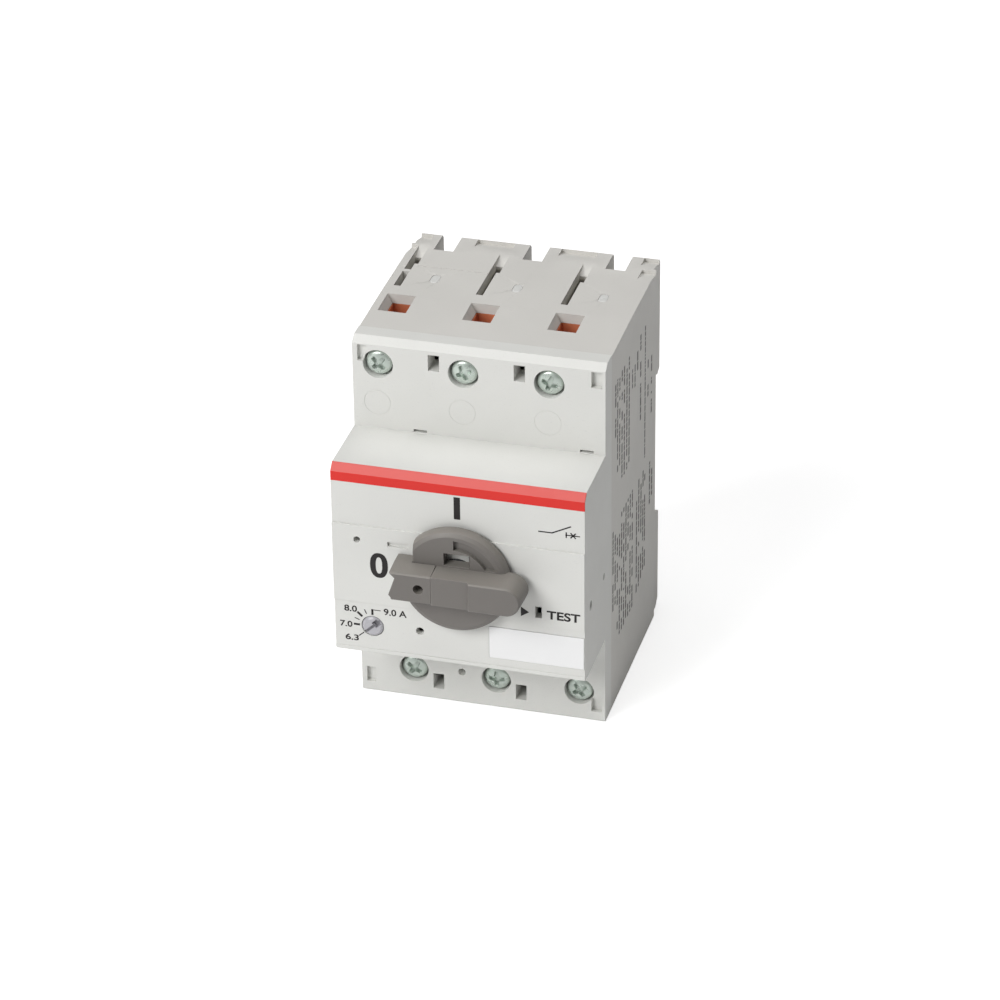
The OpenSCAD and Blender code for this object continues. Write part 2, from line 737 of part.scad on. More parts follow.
module adjusting_slide() {
  x = dial[0] - eccentric * sin(eccentric_a);
  color([0.68, 0.62, 0.50]) {
    difference() {
      blk([x - 2.6, 17.1, 4], [x + 2.6, 18.9, 11.8]);
      blk([x - 1.05, 16, 5], [x + 1.05, 20, 10]);
    }
    blk([x + 1.2, 18.8, 10.8], [x + 2.6, 25.4, 11.8]);
    blk([x + 1.2, 24.2, 10.8], [x + 2.6, 25.4, 22.5]);
  }
}

// ---------- terminals ----------

module terminal_screw(x, z) {
  color([0.78, 0.79, 0.80])
    difference() {
      union() {
        translate([x, 0, z]) rotate([-90, 0, 0])
          rotate_extrude($fn = 48)
            polygon([[0, head_y], [1.4, head_y + 0.1], [2.2, head_y + 0.4],
              [head_d / 2, head_y + 1], [head_d / 2, seat_depth], [0, seat_depth]]);
        rod(x, z, shank_d, seat_depth - 0.1, bar_y - 0.15);
      }
      // cross recess
      for (a = [0, 90])
        translate([x, head_y, z]) rotate([0, a + 20, 0]) cube([0.8, 2, 3.4], center = true);
    }
}

module box_clamp(x, z) {
  w = 3.75;
  color([0.78, 0.46, 0.30])
    difference() {
      blk([x - w, 27.2, z - 3.3], [x + w, leg_y + 1.2, z + 3.3]);
      // opening for the bar and the wire
      blk([x - w + 1, 29.8, z - 5], [x + w - 1, leg_y, z + 5]);
      // threaded hole
      rod(x, z, shank_d + 0.2, 26, 30);
    }
}

// ---------- rail latch ----------

module din_latch() {
  y0 = seat_y + 1.55;
  color([0.80, 0.79, 0.77])
    difference() {
      union() {
        blk([-7.8, y0, z_lo + 1.4], [7.8, body_d - 1.05, 3.4]);
        blk([-5.8, y0, z_lo + 1.4], [5.8, body_d - 0.3, 3.4]);
        along_x([[y0, 3.3], [body_d - 1.05, 3.3], [body_d - 1.05, 5.2], [y0 + 1.2, 7.3], [y0, 7.3]],
          -7.8, 7.8);
      }
      // window for the spring and the housing's stop tab
      blk([-2.2, y0 - 1, -14], [2.2, body_d - 1, -3]);
      // slot for a screwdriver
      blk([-3, y0 + 1.2, z_lo], [3, body_d + 1, z_lo + 4]);
    }
}

module din_latch_spring() {
  color([0.62, 0.63, 0.66])
    translate([0, (seat_y + 1.55 + body_d - 1) / 2, -12.4]) spring(9.4, 2.6, 0.4, 5);
}

// moves body coordinates into the row frame: lower end on z = 0, centred in x and y
module placed() {
  translate([0, -y_mid, rise]) children();
}

placed() front_cover();
placed() base_housing();
placed() red_band();
placed() label_plate();
placed() handle_knob();
placed() handle_lock_slide();
placed() handle_shaft();
placed() shaft_bush();
placed() mechanism_frame();
placed() drive_slide();
placed() opening_springs();
placed() contact_carrier();
placed() contact_springs();
placed() moving_bridges();
placed() moving_tips();
placed() fixed_tips();
placed() line_bars();
placed() mid_bars();
placed() load_bars();
placed() splitter_plates();
placed() arc_cheeks();
placed() coil_yokes();
placed() coil_cores();
placed() coil_bobbins();
placed() coil_windings();
placed() plunger(0);  // plunger_1
placed() plunger(1);  // plunger_2
placed() plunger(2);  // plunger_3
placed() plunger_spring(0);  // plunger_spring_1
placed() plunger_spring(1);  // plunger_spring_2
placed() plunger_spring(2);  // plunger_spring_3
placed() bimetal_strips();
placed() heater_windings();
placed() trip_slide();
placed() trip_slide_spring();
placed() trip_bar();
placed() current_dial();
placed() dial_spindle();
placed() adjusting_slide();
placed() terminal_screw(line_x[0], line_z);  // line_screw_1
placed() terminal_screw(line_x[1], line_z);  // line_screw_2
placed() terminal_screw(line_x[2], line_z);  // line_screw_3
placed() terminal_screw(load_x[0], load_z);  // load_screw_1
placed() terminal_screw(load_x[1], load_z);  // load_screw_2
placed() terminal_screw(load_x[2], load_z);  // load_screw_3
placed() box_clamp(line_x[0], line_z);  // line_clamp_1
placed() box_clamp(line_x[1], line_z);  // line_clamp_2
placed() box_clamp(line_x[2], line_z);  // line_clamp_3
placed() box_clamp(load_x[0], load_z);  // load_clamp_1
placed() box_clamp(load_x[1], load_z);  // load_clamp_2
placed() box_clamp(load_x[2], load_z);  // load_clamp_3
placed() din_latch();
placed() din_latch_spring();
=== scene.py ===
"""Looks for the motor protection breaker: materials, printed marks, screws and springs, camera, lights."""
import json
import math

import bmesh
import bpy
from mathutils import Matrix, Vector


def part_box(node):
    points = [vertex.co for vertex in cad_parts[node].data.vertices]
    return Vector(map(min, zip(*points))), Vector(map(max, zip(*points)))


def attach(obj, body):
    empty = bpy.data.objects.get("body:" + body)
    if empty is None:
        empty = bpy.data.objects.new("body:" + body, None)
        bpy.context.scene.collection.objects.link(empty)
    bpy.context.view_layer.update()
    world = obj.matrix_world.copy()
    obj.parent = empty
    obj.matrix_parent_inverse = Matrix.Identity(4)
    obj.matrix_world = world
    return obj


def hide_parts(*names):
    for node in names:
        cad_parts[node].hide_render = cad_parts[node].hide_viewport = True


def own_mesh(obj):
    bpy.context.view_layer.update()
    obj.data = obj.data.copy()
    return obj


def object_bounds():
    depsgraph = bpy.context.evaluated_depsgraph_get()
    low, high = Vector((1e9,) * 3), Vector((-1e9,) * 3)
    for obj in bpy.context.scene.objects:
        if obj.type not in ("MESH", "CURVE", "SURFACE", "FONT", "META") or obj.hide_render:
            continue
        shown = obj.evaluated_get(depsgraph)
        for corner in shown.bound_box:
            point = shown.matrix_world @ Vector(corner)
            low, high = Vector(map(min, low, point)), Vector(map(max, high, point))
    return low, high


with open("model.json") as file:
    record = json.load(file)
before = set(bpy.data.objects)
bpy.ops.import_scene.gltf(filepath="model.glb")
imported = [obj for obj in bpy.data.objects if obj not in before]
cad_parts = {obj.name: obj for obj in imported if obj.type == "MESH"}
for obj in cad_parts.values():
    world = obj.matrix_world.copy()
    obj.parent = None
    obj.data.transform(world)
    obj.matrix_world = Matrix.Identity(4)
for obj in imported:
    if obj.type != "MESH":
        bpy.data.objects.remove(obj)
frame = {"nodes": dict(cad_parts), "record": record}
cad_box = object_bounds()
NODES = frame["nodes"]
MM = 0.001

# Body coordinates in millimetres, as in the record's part: x from the centre, y = 0 on the
# nose front and rising to the rear, z = 0 on the lower edge of the nose.
COVER_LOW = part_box("front_cover")[0]
RAISED_BAND = 0.35
NOSE_ABOVE_FOOT = 20.75
ORIGIN = Vector((0, COVER_LOW.y + RAISED_BAND * MM, COVER_LOW.z + NOSE_ABOVE_FOOT * MM))
FRONT = -RAISED_BAND


def at(x, y, z):
    """Body millimetres to metres in the row frame."""
    return ORIGIN + Vector((x, y, z)) * MM


# ---------- camera ----------

AZIMUTH, ELEVATION, ROLL = 15.602, 29.938, -0.729
DISTANCE, LENS = 0.89915, 152.558
AIM = (0.81, 30, 23.26)      # the point in the picture's middle, body millimetres


def make_camera():
    """Camera in front of the object, to its right and above it."""
    a, e, r = (math.radians(v) for v in (AZIMUTH, ELEVATION, ROLL))
    back = Vector((math.sin(a) * math.cos(e), -math.cos(a) * math.cos(e), math.sin(e)))
    right = (-back).cross(Vector((0, 0, 1))).normalized()
    up = right.cross(-back)
    right, up = right * math.cos(r) + up * math.sin(r), up * math.cos(r) - right * math.sin(r)
    camera = bpy.data.objects.new("camera", bpy.data.cameras.new("camera"))
    bpy.context.scene.collection.objects.link(camera)
    camera.data.sensor_width = 36
    camera.data.lens = LENS
    camera.data.clip_start, camera.data.clip_end = 0.01, 50
    turn = Matrix((right, up, back)).transposed().to_4x4()
    camera.matrix_world = Matrix.Translation(at(*AIM) + back * DISTANCE) @ turn
    bpy.context.scene.camera = camera


make_camera()

# ---------- materials ----------


def lin(*rgb):
    """sRGB 0..255 to a linear colour."""
    out = []
    for c in rgb:
        c /= 255
        out.append(c / 12.92 if c <= 0.04045 else ((c + 0.055) / 1.055) ** 2.4)
    return (*out, 1)


def scaled(colour, k):
    """A linear colour made k times as bright."""
    return tuple(min(1, c * k) for c in colour[:3]) + (1,)


class Nodes:
    """A material's node tree with short calls for what the materials below share."""

    def __init__(self, name):
        self.mat = bpy.data.materials.new(name)
        self.mat.use_nodes = True
        self.tree = self.mat.node_tree
        self.shader = self.tree.nodes["Principled BSDF"]
        self.coords = self.tree.nodes.new("ShaderNodeTexCoord").outputs["Object"]

    def link(self, a, b):
        """Join an output to an input."""
        self.tree.links.new(a, b)

    def noise(self, scale, detail=2.0, rough=0.5, stretch=None):
        """Fractal noise in the object's own coordinates, stretch being a scale for each axis."""
        n = self.tree.nodes.new("ShaderNodeTexNoise")
        n.inputs["Scale"].default_value = scale
        n.inputs["Detail"].default_value = detail
        n.inputs["Roughness"].default_value = rough
        source = self.coords
        if stretch:
            m = self.tree.nodes.new("ShaderNodeMapping")
            m.inputs["Scale"].default_value = stretch
            self.link(self.coords, m.inputs["Vector"])
            source = m.outputs["Vector"]
        self.link(source, n.inputs["Vector"])
        return n.outputs["Fac"]

    def remap(self, value, low, high, start=0.3, end=0.7):
        """What runs from start to end, turned into low to high."""
        n = self.tree.nodes.new("ShaderNodeMapRange")
        n.inputs["From Min"].default_value = start
        n.inputs["From Max"].default_value = end
        n.inputs["To Min"].default_value = low
        n.inputs["To Max"].default_value = high
        self.link(value, n.inputs["Value"])
        return n.outputs["Result"]

    def mix(self, factor, a, b):
        """Colour a where the factor is 0, b where it is 1."""
        n = self.tree.nodes.new("ShaderNodeMix")
        n.data_type = "RGBA"
        for socket, value in ((n.inputs[6], a), (n.inputs[7], b)):
            if isinstance(value, tuple):
                socket.default_value = value
            else:
                self.link(value, socket)
        self.link(factor, n.inputs[0])
        return n.outputs[2]

    def hollows(self, distance, inside=False):
        """1 in the open, towards 0 in corners and grooves. With inside, towards 0 at convex edges."""
        n = self.tree.nodes.new("ShaderNodeAmbientOcclusion")
        n.samples = 8
        n.inside = inside
        n.inputs["Distance"].default_value = distance
        return n.outputs["AO"]

    def upward(self):
        """0 on upright faces, 1 on those that face up."""
        coords = self.tree.nodes.new("ShaderNodeTexCoord")
        parts = self.tree.nodes.new("ShaderNodeSeparateXYZ")
        self.link(coords.outputs["Normal"], parts.inputs[0])
        return self.remap(parts.outputs["Z"], 0, 1, 0.2, 0.65)

    def bump(self, height, strength, distance, before=None):
        """Normals tilted by a height, on top of those in before."""
        n = self.tree.nodes.new("ShaderNodeBump")
        n.inputs["Strength"].default_value = strength
        n.inputs["Distance"].default_value = distance
        self.link(height, n.inputs["Height"])
        if before:
            self.link(before, n.inputs["Normal"])
        return n.outputs["Normal"]


def plastic(name, colour, rough=0.5, grain=0.35, grain_scale=5200, corner_shade=0.12, spread=0.03,
            coat=0.0, edge_wear_and_highlight=0.0, painted_top_light=None):
    """Moulded plastic: eroded grain, slow sink marks, colour drift, painted shade in corners, lighter
    edges that are partly worn and partly a painted highlight.

    The colour given for upward faces is a painted highlight: what faces up is drawn lighter, as if lit
    from above.
    """
    n = Nodes(name)
    drift = n.remap(n.noise(45, 3), 0, 1)
    base = n.mix(drift, scaled(colour, 1 - spread), scaled(colour, 1 + spread))
    speck = n.remap(n.noise(2600, 2, 0.7), 0, 1, 0.62, 0.75)
    base = n.mix(speck, base, scaled(colour, 1 - spread * 2.2))
    # painted shade: corners and grooves are darkened towards a dark copy of the colour, where shade falls
    corner = n.remap(n.hollows(0.0012), corner_shade, 0, 0.35, 0.95)
    base = n.mix(corner, base, scaled(colour, 0.35))
    # painted highlight: faces that point up are drawn in a lighter colour, as if lit by the lamp above
    if painted_top_light:
        base = n.mix(n.upward(), base, painted_top_light)
    # convex edges drawn lighter: partly worn plastic, partly a painted highlight along the edges
    if edge_wear_and_highlight:
        worn_and_highlit = n.remap(n.hollows(0.0005, inside=True), edge_wear_and_highlight, 0, 0.35, 0.8)
        base = n.mix(worn_and_highlit, base, scaled(colour, 1.5))
    n.link(base, n.shader.inputs["Base Color"])
    n.link(n.remap(n.noise(320, 3), rough - 0.05, rough + 0.07), n.shader.inputs["Roughness"])
    wave = n.bump(n.noise(130, 1), 0.12, 0.0004)
    fine = n.bump(n.noise(grain_scale, 3, 0.65), grain, 0.00003, wave)
    n.link(fine, n.shader.inputs["Normal"])
    n.shader.inputs["Coat Weight"].default_value = coat
    n.shader.inputs["Coat Roughness"].default_value = 0.3
    return n.mat


def metal(name, colour, rough=0.3, brushed=None, stain=None, stain_amount=0.35, scratch=0.25,
          corner_shade=0.5, metallic=1.0):
    """Bare or plated metal: tarnish patches, fine drawing lines or tool marks, painted shade in corners.
    """
    n = Nodes(name)
    tone = n.remap(n.noise(220, 4, 0.6), 0, 1)
    base = n.mix(tone, scaled(colour, 0.88), scaled(colour, 1.06))
    if stain:
        base = n.mix(n.remap(n.noise(420, 4, 0.65), 0, stain_amount, 0.45, 0.7), base, stain)
    # painted shade: corners and grooves are darkened towards a dark copy of the colour
    corner = n.remap(n.hollows(0.0009), corner_shade, 0, 0.3, 0.9)
    base = n.mix(corner, base, scaled(colour, 0.22))
    n.link(base, n.shader.inputs["Base Color"])
    n.shader.inputs["Metallic"].default_value = metallic
    n.link(n.remap(n.noise(700, 4, 0.6), rough - 0.08, rough + 0.12), n.shader.inputs["Roughness"])
    lines = n.noise(900, 3, 0.6, brushed or (1, 1, 1))
    n.link(n.bump(lines, scratch, 0.00003, n.bump(n.noise(3500, 2), 0.15, 0.00002)),
           n.shader.inputs["Normal"])
    return n.mat


SLOTS = {
    "cover_plastic": plastic("cover_plastic", lin(226, 226, 222), 0.48, corner_shade=0.07),
    "base_plastic": plastic("base_plastic", lin(217, 215, 210), 0.52, 0.4),
    "red_plastic": plastic("red_plastic", lin(228, 40, 30), 0.36, 0.2, spread=0.04, corner_shade=0.1,
                           painted_top_light=lin(224, 96, 90)),
    "label_white": plastic("label_white", lin(246, 246, 246), 0.35, 0.05, 9000, corner_shade=0.05,
                           spread=0.01, coat=0.3),
    "handle_grey": plastic("handle_grey", lin(118, 114, 110), 0.46, 0.4, corner_shade=0.2,
                           edge_wear_and_highlight=0.6, painted_top_light=lin(133, 129, 123)),
    "dark_plastic": plastic("dark_plastic", lin(58, 60, 63), 0.45, 0.4, corner_shade=0.3),
    "green_plastic": plastic("green_plastic", lin(84, 98, 86), 0.45, 0.35, corner_shade=0.3),
    "bobbin_plastic": plastic("bobbin_plastic", lin(232, 226, 204), 0.45, 0.25),
    "fibre": plastic("fibre", lin(206, 196, 172), 0.75, 0.9, 1800, spread=0.09, corner_shade=0.2),
    "dial_grey": plastic("dial_grey", lin(187, 186, 191), 0.3, 0.25, corner_shade=0.35, spread=0.06),
    "plated_steel": metal("plated_steel", lin(208, 218, 210), 0.3, stain=lin(184, 204, 188),
                          corner_shade=0.3, metallic=0.6),
    "steel": metal("steel", lin(164, 166, 170), 0.36, (1, 14, 1)),
    "spring_steel": metal("spring_steel", lin(182, 184, 190), 0.24, scratch=0.1),
    "bronze": metal("bronze", lin(196, 148, 78), 0.34, stain=lin(150, 104, 54)),
    "copper": metal("copper", lin(228, 142, 104), 0.45, (12, 1, 1), lin(204, 116, 82), 0.5,
                    corner_shade=0.3, metallic=0.4),
    "silver_tip": metal("silver_tip", lin(222, 224, 224), 0.3, stain=lin(160, 156, 150)),
    "bimetal": metal("bimetal", lin(186, 176, 156), 0.38, (1, 1, 10), lin(150, 132, 104)),
}
PRINT = plastic("print_black", lin(32, 28, 28), 0.6, 0.15, 7000, corner_shade=0, spread=0.1)
PRINT_GREY = plastic("print_grey", lin(100, 96, 94), 0.6, 0.15, 7000, corner_shade=0, spread=0.12)

# ---------- CAD nodes: finish and softened edges ----------

# The most that edges may be rounded, in millimetres. The overlap clamp holds a whole mesh to
# what its shortest edge leaves room for: about 0.01 on the base housing, 0.02 to 0.05 on the
# front cover, knob, lock slide and dial. The latch, label and red band get the full width.
EDGES = {
    "front_cover": 0.22, "base_housing": 0.2, "handle_knob": 0.3, "handle_lock_slide": 0.24,
    "current_dial": 0.12, "din_latch": 0.25, "red_band": 0.05, "label_plate": 0.04,
}
SMALL_EDGE = 0.08
SAME_POINT = 2e-6     # corners closer than this are one, in metres
FLAT, SHARP = 0.6, 28     # degrees: below the first faces are one, above the second edges are rounded


def soften(o, width):
    """Merge the split corners of the imported mesh and round its sharp edges a little."""
    weld = o.modifiers.new("weld", "WELD")
    weld.merge_threshold = SAME_POINT
    if o != NODES["base_housing"]:
        # a housing that is joined and then rounded touches the trip bar in its bearings
        flat = o.modifiers.new("flat", "DECIMATE")
        flat.decimate_type = "DISSOLVE"
        flat.angle_limit = math.radians(FLAT)
    bevel = o.modifiers.new("bevel", "BEVEL")
    bevel.width = width * MM
    bevel.segments = 2
    bevel.limit_method = "ANGLE"
    bevel.angle_limit = math.radians(SHARP)
    bevel.use_clamp_overlap = True
    bevel.harden_normals = False
    bevel.miter_outer = "MITER_ARC"
    if o == NODES["base_housing"]:
        # its flat faces stay cut in long triangles, so large faces set the shading
        even = o.modifiers.new("even", "WEIGHTED_NORMAL")
        even.mode = "FACE_AREA"
        even.weight = 100


for row in frame["record"]["subparts"]:
    node = NODES[row["node"]]
    node.data.materials.clear()
    node.data.materials.append(SLOTS[row["material_slot"]])
    soften(node, EDGES.get(row["node"], SMALL_EDGE))

# ---------- new pieces ----------


def piece(name, bm, material, body, smooth=False):
    """An object made from bm that moves with a body."""
    mesh = bpy.data.meshes.new(name)
    bmesh.ops.recalc_face_normals(bm, faces=bm.faces)
    bm.to_mesh(mesh)
    bm.free()
    o = bpy.data.objects.new(name, mesh)
    bpy.context.scene.collection.objects.link(o)
    mesh.materials.append(material)
    if smooth:
        mesh.shade_smooth()
    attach(o, body)
    return o


INK = 0.03            # thickness of a printed mark
SINK = 0.01           # how far it starts inside the surface
DIAL = (-18.8, 6.8)   # middle of the current dial
SIDE = 27             # half the width, where the right side is


def slab(bm, outline, y):
    """A printed shape on a face towards -Y: outline of (x, z), as a thin plate in front of y."""
    rings = [[bm.verts.new(at(x, d, z)) for x, z in outline] for d in (y + SINK, y - INK)]
    bm.faces.new(rings[0])
    bm.faces.new(rings[1])
    k = len(outline)
    for i in range(k):
        j = (i + 1) % k
        bm.faces.new((rings[0][i], rings[0][j], rings[1][j], rings[1][i]))


def stroke(bm, a, b, width, y):
    """A straight printed line from a to b."""
    d = Vector(b) - Vector(a)
    n = Vector((-d.y, d.x)).normalized() * width / 2
    a, b = Vector(a), Vector(b)
    slab(bm, [a + n, b + n, b - n, a - n], y)


def ring(bm, cx, cz, rx, rz, tx, tz, power, y, steps=64):
    """A closed band between two rounded outlines, such as a nought."""
    loops = []
    for d in (y + SINK, y - INK):
        for k in (0, 1):
            pts = []
            for i in range(steps):
                t = 2 * math.pi * i / steps
                c, s = math.cos(t), math.sin(t)
                pts.append(bm.verts.new(at(
                    cx + (rx - k * tx) * math.copysign(abs(c) ** power, c), d,
                    cz + (rz - k * tz) * math.copysign(abs(s) ** power, s))))
            loops.append(pts)
    outer_back, inner_back, outer_front, inner_front = loops
    for a, b in ((outer_front, inner_front), (outer_back, inner_back),
                 (outer_front, outer_back), (inner_front, inner_back)):
        for i in range(steps):
            j = (i + 1) % steps
            bm.faces.new((a[i], a[j], b[j], b[i]))


def lettering(name, text, x0, x1, z0, z1, y, weight=0.0):
    """Generic figures or a word, fitted to a rectangle of the front face."""
    curve = bpy.data.curves.new(name, "FONT")
    curve.body = text
    curve.offset = weight
    curve.resolution_u = 6
    made = bpy.data.objects.new(name + "_curve", curve)
    bpy.context.scene.collection.objects.link(made)
    bpy.context.view_layer.update()
    flat = bpy.data.meshes.new_from_object(made.evaluated_get(
        bpy.context.evaluated_depsgraph_get()))
    bpy.data.objects.remove(made)
    bm = bmesh.new()
    bm.from_mesh(flat)
    bmesh.ops.remove_doubles(bm, verts=bm.verts, dist=1e-5)
    xs = [v.co.x for v in bm.verts]
    zs = [v.co.y for v in bm.verts]
    kx, kz = (x1 - x0) / (max(xs) - min(xs)), (z1 - z0) / (max(zs) - min(zs))
    low_x, low_z = min(xs), min(zs)
    for v in bm.verts:
        v.co = at(x0 + (v.co.x - low_x) * kx, y - INK, z0 + (v.co.y - low_z) * kz)
    grown = bmesh.ops.extrude_face_region(bm, geom=bm.faces[:])
    for v in (g for g in grown["geom"] if isinstance(g, bmesh.types.BMVert)):
        v.co.y += (INK + SINK) * MM
    return piece(name, bm, PRINT, "housing")


def printed_marks():
    """Handle positions, circuit symbol, test arrow and the dial's scale."""
    # off and on positions of the handle
    bm = bmesh.new()
    ring(bm, -16.95, 22.05, 1.92, 2.95, 1.22, 0.98, 0.86, FRONT)
    piece("mark_off", bm, PRINT, "housing")
    bm = bmesh.new()
    slab(bm, [(-0.68, 35.3), (0.68, 35.3), (0.68, 40.5), (-0.68, 40.5)], 0)
    piece("mark_on", bm, PRINT, "housing")
    # circuit symbol: line, switch blade, cross of a breaker contact
    bm = bmesh.new()
    for a, b, w in (((17.2, 35.0), (20.1, 35.0), 0.27), ((20.0, 34.95), (24.1, 37.0), 0.27),
                    ((22.9, 34.9), (26.0, 34.9), 0.22), ((23.1, 34.25), (23.1, 35.55), 0.27),
                    ((24.0, 34.3), (25.1, 35.5), 0.27), ((24.0, 35.5), (25.1, 34.3), 0.27)):
        stroke(bm, a, b, w, 0)
    piece("mark_symbol", bm, PRINT, "housing")
    # arrow towards the test slot
    bm = bmesh.new()
    slab(bm, [(13.45, 14.35), (15.2, 15.5), (13.45, 16.65)], FRONT)
    piece("mark_arrow", bm, PRINT, "housing")
    lettering("mark_test", "TEST", 19.0, 26.1, 14.45, 16.5, FRONT, 0.024)
    # current scale round the dial
    lettering("mark_8_0", "8.0", -24.95, -22.15, 9.75, 11.25, 0, 0.02)
    lettering("mark_7_0", "7.0", -25.95, -23.25, 5.9, 7.35, 0, 0.02)
    lettering("mark_6_3", "6.3", -24.85, -21.95, 2.75, 4.2, 0, 0.02)
    lettering("mark_9_0", "9.0 A", -16.3, -11.35, 9.9, 11.5, 0, 0.016)
    bm = bmesh.new()
    cx, cz = DIAL
    for angle, r0, r1, w in ((-132, 2.6, 4.1, 0.22), (-90, 2.8, 4.15, 0.46), (-68, 3.1, 4.2, 0.2),
                             (-47, 3.05, 4.5, 0.5), (-24, 3.1, 4.2, 0.2), (0, 2.75, 4.15, 0.46)):
        s, c = math.sin(math.radians(angle)), math.cos(math.radians(angle))
        stroke(bm, (cx + r0 * s, cz + r0 * c), (cx + r1 * s, cz + r1 * c), w, 0)
    stroke(bm, (cx, 10.82), (-17.0, 10.82), 0.16, 0)
    piece("mark_scale", bm, PRINT, "housing")


printed_marks()


def side_print():
    """Rows of short plain bars on the right side, where data is printed: nothing to read."""
    bm = bmesh.new()
    proud = 0.001     # so little that the part gets no wider
    x0, x1 = SIDE - SINK, SIDE + proud
    gap = 0.22
    factor, step, modulus = 1103515245, 12345, 2147483648
    state = 7

    def draw():
        """The next number of a fixed row of random numbers, 0 to 1."""
        nonlocal state
        state = (state * factor + step) % modulus
        return state / modulus

    # columns as y, width, z from, z to, share that is inked
    blocks = [(25.6, 1.0, 43.4, 56.5, 0.8), (27.4, 0.8, 34.6, 57.0, 0.8), (29.2, 0.8, 35.0, 57.0, 0.8),
              (31.2, 0.9, 31.5, 57.0, 0.8), (33.2, 0.9, 30.5, 57.0, 0.85), (35.4, 0.9, 30.5, 57.0, 0.85),
              (37.4, 0.9, 30.8, 57.0, 0.8), (40.4, 0.8, 48.0, 52.5, 0.8), (42.6, 0.8, 44.5, 52.5, 0.8),
              (44.8, 1.0, 50.0, 57.0, 0.8), (47.6, 1.0, 36.5, 57.0, 0.7), (51.8, 0.8, 24.5, 57.0, 0.85),
              (54.4, 0.9, 38.0, 47.5, 0.7), (57.6, 0.9, 33.0, 47.0, 0.6)]
    for y in (23.6, 25.5, 27.4, 29.3, 31.2, 33.1, 35.0, 36.9, 38.8, 40.7):
        blocks.append((y, 0.9, -6.0 if y > 26 else 3, 23.2, 0.72))
    for y in (44.6, 46.6, 48.6, 50.4, 52.0):
        blocks.append((y, 0.9, -5.0 + (y - 44) * 0.3, 22.6, 0.78))
    blocks += [(56.4, 1.0, 11.0, 21.5, 0.7), (58.4, 1.0, 12.0, 21.5, 0.7)]
    for y, w, z0, z1, ink in blocks:
        z = z1
        while z > z0 + 0.6:
            length = min(0.4 + 1.9 * draw(), z - z0)
            if draw() < ink:
                corners = [(y, z), (y + w, z), (y + w, z - length), (y, z - length)]
                back = [bm.verts.new(at(x0, a, b)) for a, b in corners]
                front = [bm.verts.new(at(x1, a, b)) for a, b in corners]
                bm.faces.new(back)
                bm.faces.new(front)
                for i in range(4):
                    j = (i + 1) % 4
                    bm.faces.new((back[i], back[j], front[j], front[i]))
            z -= length + gap
    piece("side_rows", bm, PRINT_GREY, "housing")


side_print()

# ---------- witness marks on the top ----------


def top_spots():
    """Glossy long witness marks of the moulding pins, in a lighter colour than the surface round them: a
    painted sheen.
    """
    top = (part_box("base_housing")[1].z - ORIGIN.z) / MM
    middle, reach, steps = 46.9, 0.9, 40
    # painted sheen: the marks get a lighter plastic than the housing, for light catching on them
    pin_sheen_plastic = plastic("pin_mark_sheen", lin(224, 224, 221), 0.3, 0.1, corner_shade=0, spread=0.015)
    bm = bmesh.new()
    for x in (-17.5, 0.5, 19.2):
        rings = []
        for r, drop in ((0.97, 0.3), (0.97, 0.12), (0.8, 0.04), (0.45, 0.02)):
            points = []
            for i in range(steps):
                t = 2 * math.pi * (i + 0.5) / steps
                y = middle + math.copysign(reach, math.sin(t)) + r * math.sin(t)
                points.append(bm.verts.new(at(x + r * math.cos(t), y, top - drop)))
            rings.append(points)
        for a, b in zip(rings, rings[1:]):
            for i in range(steps):
                j = (i + 1) % steps
                bm.faces.new((a[i], a[j], b[j], b[i]))
        bm.faces.new(rings[0])
        bm.faces.new(rings[-1])
    piece("top_spots", bm, pin_sheen_plastic, "housing", smooth=True)


top_spots()

# ---------- screws ----------

HEAD_R, HEAD_FRONT, HEAD_BACK = 2.8, 17.5, 21.0
SHANK_R, SHANK_BACK, THREAD, THREAD_DEPTH = 1.95, 31.35, 0.7, 0.32
DOME_R, DOME_RISE = 2.3, 0.42
RECESS_TURN = math.radians(20)


def recess(u, v):
    """Depth in mm of the driver recess at a point of the head: a cross, wider at its middle."""
    reach, reach_fade = 1.35, 0.4
    half, widening, wide_to, edge_fade = 0.3, 0.1, 1.7, 0.12
    deep = 0.85
    c, s = math.cos(RECESS_TURN), math.sin(RECESS_TURN)
    u, v = u * c + v * s, v * c - u * s
    depth = 0.0
    for a, b in ((u, v), (v, u)):
        along = max(0.0, 1 - max(0.0, abs(a) - reach) / reach_fade)
        across = max(0.0, 1 - max(0.0, abs(b) - half - widening * (wide_to - abs(a))) / edge_fade)
        depth = max(depth, deep * min(1.0, along) * min(1.0, across))
    return depth


